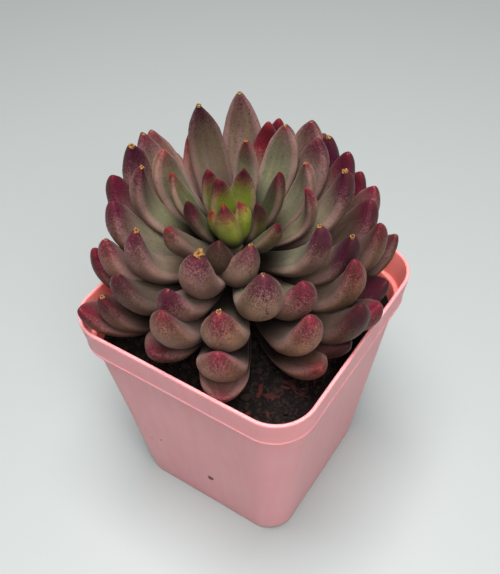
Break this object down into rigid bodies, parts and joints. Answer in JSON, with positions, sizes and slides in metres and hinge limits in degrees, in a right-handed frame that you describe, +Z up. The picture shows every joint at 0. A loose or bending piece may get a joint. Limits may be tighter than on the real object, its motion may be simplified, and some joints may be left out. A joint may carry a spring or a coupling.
{
  "type": "potted echeveria",
  "caption": "Small fat-leaved rosette succulent, its pointed leaves packed in a spiral, growing in potting mix in a tapered square plastic nursery pot with a collar.",
  "frame": {"origin": "centre of the pot's flat underside, on the surface that the pot stands on", "axes": "+Z up; the pot's four sides face along X and Y"},
  "size_m": [0.0809, 0.0764, 0.1082],
  "materials": {
    "pot_plastic": "thin moulded polypropylene, soft sheen, slightly translucent dull pink",
    "potting_mix": "damp dark peat mix with coarse crumbs, fully matte",
    "leaf": "fleshy leaf with powdery bloom, green heart, mauve outer leaves and crimson points"
  },
  "bodies": {
    "root": {"pot": "pot_plastic", "soil": "potting_mix", "rosette": "leaf"}
  },
  "joints": []
}
